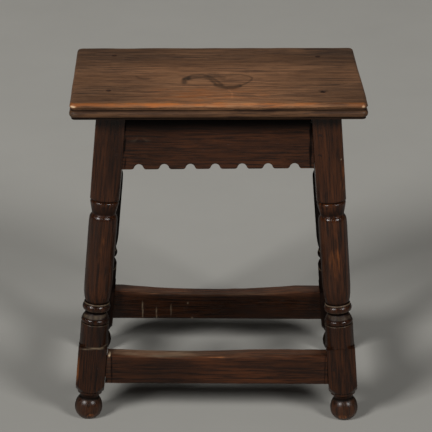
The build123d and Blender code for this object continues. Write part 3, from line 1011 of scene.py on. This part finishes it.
def coons(loop, across, along):
    """A grid of points filled in from its closed boundary, which starts at one corner."""
    south = loop[: across + 1]
    east = loop[across : across + along + 1]
    north = loop[across + along : 2 * across + along + 1][::-1]
    west = np.concatenate([loop[2 * across + along :], loop[:1]])[::-1]
    u = np.linspace(0, 1, across + 1)[:, None, None]
    v = np.linspace(0, 1, along + 1)[None, :, None]
    ruled = (1 - v) * south[:, None] + v * north[:, None] + (1 - u) * west[None] + u * east[None]
    corners = (
        (1 - u) * (1 - v) * south[0] + u * (1 - v) * south[-1]
        + (1 - u) * v * north[0] + u * v * north[-1]
    )
    return ruled - corners


def seat_edge(fall, spread):
    """The moulded edge from the underside up to the flat top, in millimetres: inset, height, rub
    and dirt at each station.

    The lower line of the nosing wanders by fall, and spread is the rounding of the nosing."""
    thick = (SEAT_TOP - SEAT_LOW) / MM
    lip, bead, quirk, bead_round = 2.5, 12.0, 4.5, 5.6
    rows = [(9.0, 0.0, 0, 0.6), (3.6, 0.0, 0, 0.6), (3.0, 0.5, 0, 0.6), (3.0, lip + 0.6, 0, 0.9)]
    start = -math.acos((bead_round - 3.0) / bead_round)
    for a in arc(start, 0, 6)[1:]:
        rows.append((bead_round * (1 - math.cos(a)), lip + bead_round + bead_round * math.sin(a),
                     0.05, 0))
    for a in arc(0, math.acos((bead_round - 3.2) / bead_round), 6):
        rows.append((bead_round * (1 - math.cos(a)),
                     lip + bead - bead_round + bead_round * math.sin(a),
                     0.1, 0.6 * ease(a, 0.8, 1.1)))
    rows.append((3.5, lip + bead + 1.2, 0, 0.8))
    rows.append((3.5, lip + bead + quirk - 1.2, 0.25, 0.3))
    nosing = lip + bead + quirk + fall
    rows.append((3.2, nosing, 0, 0.35))
    for a in arc(-math.pi / 2, 0, 4):
        rows.append((2.8 - 2 * math.cos(a), nosing + 2 + 2 * math.sin(a),
                     0.3 * ease(a, -1.0, 0), 0.15 * ease(-a, 0.6, 1.5)))
    for a in arc(0, math.pi / 2, 8):
        rows.append((0.8 + spread * (1 - math.cos(a)), thick - spread + spread * math.sin(a),
                     0.4 + 0.35 * math.sin(2 * a), 0))
    rows.append((9.4, thick, 0.15, 0))
    return [[np.broadcast_to(value, fall.shape) for value in row] for row in rows]


# The dark whorl where a branch left the tree, a dent and a pale curl beside it: strokes as
# (x, y) points in mm, width and darkness
WHORL = (
    (((-53, -38), (-53, -24), (-46, -18)), 7.0, 0.6),
    (((-53, -21), (-41, -4), (-24, 1), (-12, -11), (-2, -29), (7, -51)), 4.0, 0.5),
    (((-47, -22), (-34, -15), (-21, -13), (-13, -21), (-5, -42)), 4.0, 0.5),
    (((-13, -4), (-2, -6), (9, -16)), 8.0, 0.3),
    (((-3, -51), (5, -59), (14, -64), (25, -63), (35, -56)), 5.5, 0.6),
    (((35, -56), (45, -44), (54, -29), (56, -16), (51, -8), (37, 0), (14, -3)), 2.6, 0.45),
    (((-130, -8), (-126, -16), (-117, -22), (-110, -20)), 2.6, 0.3),
    (((160, -83), (171, -83)), 4.0, 0.4),
    (((16, -75), (21, -87), (21, -111)), 2.4, -0.25),
)


def seat_figure(points):
    """The share of its tone that the whorl leaves each point."""
    # Strokes are wider across the grain than along it
    spread = (1.0, 2.2)
    at = points[:, :2] / MM / spread
    left = np.ones(len(at))
    for stroke, width, dark in WHORL:
        stroke = np.array(stroke) / spread
        away = np.full(len(at), np.inf)
        for start, end in zip(stroke[:-1], stroke[1:]):
            way = end - start
            share = np.clip((at - start) @ way / (way @ way), 0, 1)
            away = np.minimum(away, np.linalg.norm(at - start - share[:, None] * way, axis=1))
        left *= 1 - dark * (1 - ease(away, 0.3 * width, 0.9 * width))
    return 1 + (left - 1) * ease(points[:, 2], SEAT_TOP - 2 * MM, SEAT_TOP - 1 * MM)


def seat_rubbing(ways, rim, path):
    """How far the edge is rubbed at each station: most along the front, and unevenly."""
    x = rim[:, 0]
    front = ease(-ways[:, 1], 0.3, 0.95) * (1 - 0.35 * ease(x, 0.1, 0.2))
    front *= 0.8 + 0.35 * roughly(path, 24 * MM, 9) - 0.12 * x / 0.2
    front *= 1 - 0.3 * np.exp(-(((x - 0.05) / 0.08) ** 2))
    return 0.12 + 0.88 * front


def seat_shade(points, centred, at_front, at_back, wander):
    """Sitters have rubbed the middle and the front light; the ends and the back stay dark."""
    x = points[:, 0]
    shade = -0.05 + 0.35 * centred - at_back * (0.36 + 0.27 * centred)
    shade += at_front * (0.26 * centred - 0.15) + 0.08 * x / 0.2
    shade -= 0.28 * (at_front + at_back) * ease(x, 0.1, 0.21)
    shade = (1 + shade + 0.1 * wander) * seat_figure(points) - 1
    below = 1 - ease(points[:, 2], SEAT_LOW + 13 * MM, SEAT_LOW + 17.5 * MM)
    return shade * (1 - below) - 0.61 * below


class STOOL_OT_seat(Operator):
    """Plank seat with a moulded edge"""

    bl_idname = "stool.seat"
    bl_label = "Plank seat"

    def execute(self, context):
        sizes = context.scene.stool_seat
        centres, ways, across, along = rounded_rectangle(sizes)
        rim = centres + ways * sizes.corner
        path = np.stack([rim[:, 0], rim[:, 1], rim[:, 0] * 0], -1)
        fall = 0.9 * roughly(path, 40 * MM, 2) + 0.35 * roughly(path, 11 * MM, 3)
        wear = ease(roughly(path, 55 * MM, 4), -0.5, 0.6)
        spread = (sizes.nosing_round + sizes.nosing_wear * wear) / MM
        loops, rubs, dirts = [], [], []
        for inset, height, rub, dirt in seat_edge(fall, spread):
            flat = centres + ways * (sizes.corner - inset * MM)[:, None]
            loops.append(np.concatenate([flat, (SEAT_LOW + height * MM)[:, None]], 1))
            rubs.append(rub)
            dirts.append(dirt)
        top = coons(loops[-1], across, along)
        ring = len(centres)
        count = len(loops)
        points = np.concatenate(loops + [top.reshape(-1, 3)])
        faces = bands(count, ring)
        faces.append(tuple(range(ring)))
        first = count * ring
        rows = along + 1
        faces += [
            (first + i * rows + j, first + (i + 1) * rows + j,
             first + (i + 1) * rows + j + 1, first + i * rows + j + 1)
            for i in range(across) for j in range(along)
        ]
        flat_top = top.reshape(-1, 3)
        rubbing = seat_rubbing(ways, rim, path)
        rub = np.concatenate([r * rubbing for r in rubs] + [np.zeros(len(flat_top))])
        dirt = np.concatenate(dirts + [np.zeros(len(flat_top))])

        # The top has dished and moved a little; its edge stays where the nosing ends
        high = ease(points[:, 2], SEAT_LOW + 20 * MM, SEAT_TOP)
        middle = 1 - np.maximum(
            abs(points[:, 0] * 2 / sizes.length), abs(points[:, 1] * 2 / sizes.width))
        wander = roughly(points, (90 * MM, 34 * MM, 90 * MM), 5)
        hollow = 0.7 * sizes.dish + 0.22 * MM * (1 + wander)
        points[:, 2] -= high * ease(middle, 0.0, 0.6) * hollow

        centred = np.exp(-((points[:, 0] / 0.15) ** 2))
        depth = (points[:, 1] + sizes.width / 2) / sizes.width
        at_front, at_back = 1 - ease(depth, 0.15, 0.5), ease(depth, 0.5, 0.85)
        shade = seat_shade(points, centred, at_front, at_back, wander)
        rub[-len(flat_top):] += (0.42 * at_front * centred)[-len(flat_top):]

        # The grain keeps to the plank, which has crept round and along
        turn = Matrix.Rotation(sizes.turn, 2)
        grain = points.copy()
        points[:, :2] = points[:, :2] @ np.array(turn).T
        points[:, 0] += sizes.shift
        piece = mesh_object("plank_seat", points, faces)
        attribute(piece, "grain", grain + 3.0)
        attribute(piece, "rub", rub)
        attribute(piece, "dirt", dirt)
        attribute(piece, "shade", shade)
        piece.data.materials.append(finish_for("seat"))
        seated(piece, "seat_board", 40)
        return {"FINISHED"}


# ---------------------------------------------------------------- pegs


def peg_tree():
    """Riven pegs, uneven and many-sided, one at each point of the mesh that it is given."""
    tree, given, out = new_tree("Riven pegs", {
        "Heads": "Geometry", "Radius": "Float", "Length": "Float", "Seed": "Int",
        "Material": "Material",
    })
    shaft = add(tree, "GeometryNodeMeshCylinder", {
        "Vertices": 9, "Side Segments": 3, "Fill Segments": 2, "Radius": given["Radius"],
        "Depth": given["Length"],
    }, fill_type="TRIANGLE_FAN")
    drop = add(tree, JOIN, {2: add(tree, MATH, (given["Length"], -0.5), operation="MULTIPLY")})
    sunk = add(tree, "GeometryNodeTransform", {"Geometry": shaft, "Translation": drop})
    out_way = add(
        tree, "GeometryNodeInputNamedAttribute", {"Name": "way"}, data_type="FLOAT_VECTOR")
    facing = add(tree, "FunctionNodeAlignRotationToVector", {"Vector": out_way}, axis="Z")
    spin = add(tree, "FunctionNodeRandomValue", {
        "Min": (0, 0, 0), "Max": (0, 0, math.tau), "Seed": given["Seed"],
    }, data_type="FLOAT_VECTOR")
    twist = add(
        tree, "FunctionNodeRotateRotation", {"Rotation": facing, "Rotate By": spin},
        rotation_space="LOCAL",
    )
    placed = add(tree, "GeometryNodeInstanceOnPoints", {
        "Points": given["Heads"], "Instance": sunk, "Rotation": twist})
    real = add(tree, "GeometryNodeRealizeInstances", {"Geometry": placed})
    uneven = add(tree, "ShaderNodeTexNoise", {
        "Vector": add(tree, "GeometryNodeInputPosition"), "Scale": 260.0, "Detail": 1.0})
    stray = add(tree, VECTOR, (uneven.outputs["Color"], (0.5, 0.5, 0.5)), operation="SUBTRACT")
    stray = add(tree, VECTOR, {0: stray, "Scale": 0.8 * MM}, operation="SCALE")
    shaped = add(tree, "GeometryNodeSetPosition", {"Geometry": real, "Offset": stray})
    # Too small for the grain's direction to show, so the place alone will do
    grain = add(
        tree, "GeometryNodeStoreNamedAttribute",
        {"Geometry": shaped, "Name": "grain", "Value": add(tree, "GeometryNodeInputPosition")},
        data_type="FLOAT_VECTOR", domain="POINT",
    )
    covered = add(
        tree, "GeometryNodeSetMaterial", {"Geometry": grain, "Material": given["Material"]})
    tree.links.new(covered.outputs[0], out.inputs[0])
    return tree


def peg_heads(node):
    """Where the heads of a node's pegs are, which way they point and how long they are."""
    low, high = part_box(node)
    middle = (low + high) / 2
    radius, sunk, draw_length = 4 * MM, 0.1 * MM, 27 * MM
    if node.startswith("seat_peg"):
        return [(middle.x, middle.y, high.z - sunk)], (0, 0, 1), high.z - low.z
    side = next(s for s in SIDES if f"_{s}_" in node)
    turn = math.radians(SIDES[side])
    way = Vector((math.sin(turn), -math.cos(turn), 0))
    heights = [middle.z] if "stretcher" in node else [high.z - radius, low.z + radius]
    heads = []
    for z in heights:
        x, y = leg_centre(z)
        reach = (x if side in ("left", "right") else y) + LEG_STOCK / 2
        centre = Vector((middle.x, middle.y, z))
        centre -= way * centre.dot(way)
        heads.append(tuple(centre + way * reach + Vector((0, 0, z - centre.z))))
    return heads, tuple(way), draw_length


class STOOL_OT_pegs(Operator):
    """Riven pegs through the joints and down through the seat, set out by Geometry Nodes"""

    bl_idname = "stool.pegs"
    bl_label = "Pegs"

    seat_radius, draw_radius, short_by = 4.4 * MM, 3.9 * MM, 0.5 * MM

    def execute(self, context):
        tree = peg_tree()
        nodes = sorted(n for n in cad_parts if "peg" in n)
        for seed, node in enumerate(nodes):
            heads, way, deep = peg_heads(node)
            start = mesh_object(node + "_heads", heads, [])
            attribute(start, "way", [way] * len(heads))
            radius = self.seat_radius if node.startswith("seat") else self.draw_radius
            piece = grown("riven_" + node, tree, {
                "Radius": radius, "Length": deep - self.short_by, "Seed": seed,
                "Material": finish_for("peg"),
            }, start)
            seated(piece, node, 30)
        bpy.data.node_groups.remove(tree)
        return {"FINISHED"}


# ---------------------------------------------------------------- old marks and painted light

# For each node: attribute, middle, half sizes in millimetres, and strength
MARKS = {
    "apron_front": [
        ("dirt", (-147, -108, 472), (1.3, 12, 60), 0.95),
        ("dirt", (146.2, -108, 472), (2.9, 12, 60), 1.0),
        ("dust", (-122, -108, 483), (30, 12, 3.4), 0.42),
        ("rub", (-32, -108, 481), (48, 12, 9), 0.12),
        ("dust", (145.8, -108, 474), (1.6, 12, 1.6), 1.0),
        ("shade", (-120, -108, 490), (75, 40, 60), -0.35),
        ("shade", (130, -108, 490), (50, 40, 60), -0.15),
    ],
    "leg_front_right": [
        ("dust", (194, -112, 454), (1.8, 9, 1.8), 1.0),
        # Pale dust on the ledge above the drum, partly a painted grey reflection
        ("dust", (200, -125, 182), (30, 30, 4.5), 0.35),
        ("rub", (199, -116, 414), (9, 14, 44), 0.3),
        ("rub", (208, -144, 9), (10, 9, 7), 0.4),
        ("rub", (190, -126, 280), (20, 16, 36), 0.32),
        ("shade", (206, -118, 110), (90, 90, 120), -0.27),
        ("shade", (202, -120, 155), (50, 60, 45), -0.16),
        ("shade", (180, -110, 470), (60, 60, 90), -0.14),
    ],
    "leg_front_left": [
        ("dust", (-204, -115, 130), (36, 40, 3.2), 1.1),
        # Pale dust on the ledge above the drum, partly a painted grey reflection
        ("dust", (-200, -125, 182), (30, 30, 4.5), 0.45),
        ("rub", (-228, -141, 98), (4.5, 6, 40), 0.3),
        ("rub", (-208, -144, 9), (10, 9, 7), 0.4),
        ("rub", (-187, -126, 290), (10, 14, 60), 0.28),
        ("shade", (-190, -115, 280), (90, 90, 330), -0.15),
        ("shade", (-206, -118, 110), (90, 90, 120), -0.35),
        ("shade", (-163, -110, 460), (16, 60, 90), -0.35),
    ],
    "stretcher_front": [
        ("dirt", (-172.4, -139, 95), (1.2, 8, 60), 0.95),
        ("dust", (-177, -139, 100), (4, 8, 26), 0.35),
        ("dust", (-175.7, -136, 119), (2.2, 14, 3.5), 1.0),
        ("dirt", (-182, -141, 73.5), (3, 8, 5), 1.0),
        ("dirt", (177.1, -139, 95), (1.0, 8, 60), 0.8),
        ("dirt", (181.7, -139, 95), (1.0, 8, 60), 0.8),
        ("dust", (-105, -124, 116), (105, 22, 7), 0.19),
        ("dust", (0, -124, 117), (300, 24, 8), 0.32),
        ("shade", (0, -124, 117), (300, 24, 8), 0.8),
        ("shade", (-120, -141, 88), (120, 8, 40), -0.42),
        ("shade", (150, -141, 88), (70, 8, 40), -0.2),
    ],
    "stretcher_back": [
        ("dust", (-131.2, 111, 80), (1.8, 8, 26), 0.6),
        ("dust", (-106.8, 112, 74), (1.6, 8, 18), 0.55),
        ("dust", (-81.2, 111, 81), (1.6, 8, 17), 0.5),
        ("dust", (-51.7, 110, 95), (1.8, 8, 1.8), 0.9),
        ("dust", (-44.2, 113, 65), (2.2, 8, 2.2), 0.9),
        # All along the face: a darker tone, and pale dust that is partly a painted grey reflection
        ("shade", (0, 110, 85), (400, 12, 42), -0.56),
        ("dust", (0, 110, 85), (400, 12, 42), 0.2),
        ("dust", (0, 122, 118), (300, 24, 12), 0.3),
        ("shade", (0, 122, 118), (300, 24, 12), 0.95),
        ("shade", (100, 122, 118), (100, 24, 12), 0.3),
    ],
    # Painted shade: the back legs are darkened all over with grime because they stand in shadow
    # behind and under the seat; the mark also makes them rougher
    "leg_back_left": [("dirt", (-200, 110, 280), (90, 90, 420), 0.75)],
    "leg_back_right": [("dirt", (200, 110, 280), (90, 90, 420), 0.75)],
    "seat_peg_back_left": [("shade", (-170, 80, 556), (90, 90, 90), 1.0)],
    "seat_peg_back_right": [("shade", (170, 80, 556), (90, 90, 90), 1.0)],
    "seat_peg_front_left": [("shade", (-170, -80, 556), (90, 90, 90), 1.0)],
    "seat_board": [
        ("shade", (-120, 17, 556), (80, 28, 10), 0.13),
        ("shade", (160, -20, 556), (60, 60, 10), -0.14),
        ("rub", (-80, -95, 556), (90, 40, 8), 0.08),
        ("shade", (-160, -95, 556), (80, 45, 10), -0.13),
        # Painted highlights: lightened pale spots where the front corners of the nosing glint
        ("shade", (-226, -147, 551), (9, 6, 2.2), 1.5),
        ("shade", (225, -138, 550), (3.4, 5, 3.6), 1.1),
        ("rub", (-232, -141, 553), (12, 10, 6), 0.5),
        ("rub", (218, -140, 553), (26, 12, 6), 0.2),
        # Painted highlights: pale dust on the same corner glints, and on the lower bead at the left
        # corner
        ("dust", (-226, -147, 551), (9, 6, 2.2), 1.0),
        ("dust", (225, -138, 550), (3.4, 5, 3.6), 0.8),
        ("dust", (-228, -147, 537), (16, 14, 6), 0.5),
    ],
}


# ---------------------------------------------------------------- stage


class STOOL_OT_stage(Operator):
    """Painted floor and wall, two softboxes and the camera"""

    bl_idname = "stool.stage"
    bl_label = "Studio"

    # The air's own faint light
    sky, sky_strength = "#c9cbcd", 0.011
    # In metres. The wall stands out of the camera's sight, and gives the seat its sheen
    reach, wall_distance, wall_height = 9.0, 5.6, 6.5
    aim = (0, 0, 0.25)
    # In degrees
    softbox_rise = 31.8
    softbox_turns = {"left": -45, "right": 45}
    camera_place = (-1.619 * MM, -2920.842 * MM, 1536.422 * MM)
    camera_pitch, camera_yaw, camera_roll = 22.807, -0.021, 0.285
    # In millimetres
    lens, sensor_width = 158.84, 36

    def execute(self, context):
        scene = context.scene
        sizes = scene.stool_stage
        reach, back, high = self.reach, self.wall_distance, self.wall_height
        floor = mesh_object(
            "studio_floor",
            [(-reach, -reach, 0), (reach, -reach, 0), (reach, reach, 0), (-reach, reach, 0)],
            [(0, 1, 2, 3)],
        )
        floor.data.materials.append(studio_paint("Painted studio floor", tuple(sizes.floor), True))
        wall = mesh_object(
            "studio_wall",
            [(-reach, back, 0), (reach, back, 0), (reach, back, high), (-reach, back, high)],
            [(0, 1, 2, 3)],
        )
        wall.data.materials.append(studio_paint("Painted studio wall", tuple(sizes.wall), False))

        world = bpy.data.worlds.new("Studio")
        world.use_nodes = True
        backdrop = world.node_tree.nodes["Background"]
        backdrop.inputs["Color"].default_value = (*hex_colour(self.sky), 1)
        backdrop.inputs["Strength"].default_value = self.sky_strength
        scene.world = world

        for name, azimuth in self.softbox_turns.items():
            turn, rise = math.radians(azimuth), math.radians(self.softbox_rise)
            level = math.cos(rise)
            way = Vector((math.sin(turn) * level, -math.cos(turn) * level, math.sin(rise)))
            place = Vector(self.aim) + way * sizes.distance
            area_light(f"softbox_{name}", place, way, sizes.size, getattr(sizes, f"{name}_power"))

        camera = bpy.data.cameras.new("camera")
        camera.lens = self.lens
        camera.sensor_width = self.sensor_width
        camera.clip_end = 50
        made = bpy.data.objects.new("camera", camera)
        made.location = self.camera_place
        made.rotation_euler = (
            Euler((0, 0, math.radians(-self.camera_yaw))).to_matrix()
            @ Euler((math.radians(90 - self.camera_pitch), 0, 0)).to_matrix()
            @ Euler((0, 0, math.radians(self.camera_roll))).to_matrix()
        ).to_euler()
        scene.collection.objects.link(made)
        scene.camera = made
        scene.view_settings.view_transform = "Standard"
        return {"FINISHED"}


def area_light(name, place, way, size, power):
    """A softbox at a place, with its back to the way that is given."""
    light = bpy.data.lights.new(name, "AREA")
    light.shape = "RECTANGLE"
    light.size = light.size_y = size
    light.energy = power
    made = bpy.data.objects.new(name, light)
    made.location = place
    made.rotation_euler = way.to_track_quat("Z", "Y").to_euler()
    bpy.context.scene.collection.objects.link(made)


def studio_paint(name, tone, graded):
    """Matt grey studio paint with faint clouds, which is paler far off where it is graded."""
    made = bpy.data.materials.new(name)
    made.use_nodes = True
    tree = made.node_tree
    tree.nodes.clear()
    place = add(tree, "ShaderNodeTexCoord").outputs["Object"]
    clouds = add(tree, "ShaderNodeTexNoise", {
        "Vector": place, "Scale": 3.2, "Detail": 4.0, "Roughness": 0.6})
    tint = add(tree, RANGE, (clouds, 0.0, 1.0, 0.94, 1.05))
    if graded:
        away = add(tree, SPLIT, (place,)).outputs["Y"]
        near = add(tree, RANGE, (away, -0.15, 0.75, 1.0, 1.28), **SMOOTH)
        far = add(tree, RANGE, (away, 0.5, 2.4, 1.0, 1.38))
        grade = add(tree, MATH, (near, far), operation="MULTIPLY")
        tint = add(tree, MATH, (tint, grade), operation="MULTIPLY")
    shade = add(tree, VECTOR, {0: tone, "Scale": tint.outputs[0]}, operation="SCALE")
    shader = add(tree, "ShaderNodeBsdfPrincipled", {
        "Base Color": shade, "Roughness": 0.75, "Specular IOR Level": 0.2})
    add(tree, "ShaderNodeOutputMaterial", {"Surface": shader})
    return made


class STOOL_PT_panel(Panel):
    """Sizes, finishes and the steps that build the stool"""

    bl_idname = "STOOL_PT_panel"
    bl_label = "Joint stool"
    bl_space_type = "VIEW_3D"
    bl_region_type = "UI"
    bl_category = "Joint stool"

    def draw(self, context):
        for group in GROUPS:
            box = self.layout.box()
            settings = getattr(context.scene, group)
            for name in settings.__annotations__:
                box.prop(settings, name)
        for step in STEPS:
            self.layout.operator(step.bl_idname)


GROUPS = {
    "stool_seat": StoolSeatSizes,
    "stool_leg": StoolLegSizes,
    "stool_rail": StoolRailSizes,
    "stool_finish": StoolFinish,
    "stool_stage": StoolStage,
}
STEPS = (
    STOOL_OT_stage, STOOL_OT_legs, STOOL_OT_aprons,
    STOOL_OT_stretchers, STOOL_OT_seat, STOOL_OT_pegs,
)


def register():
    for kind in (*GROUPS.values(), *STEPS, STOOL_PT_panel):
        bpy.utils.register_class(kind)
    for name, kind in GROUPS.items():
        setattr(bpy.types.Scene, name, PointerProperty(type=kind))


def unregister():
    for name in GROUPS:
        delattr(bpy.types.Scene, name)
    for kind in reversed((*GROUPS.values(), *STEPS, STOOL_PT_panel)):
        bpy.utils.unregister_class(kind)


def main():
    """Builds every piece."""
    register()
    for step in STEPS:
        group, name = step.bl_idname.split(".")
        getattr(getattr(bpy.ops, group), name)()


if __name__ == "__main__":
    main()
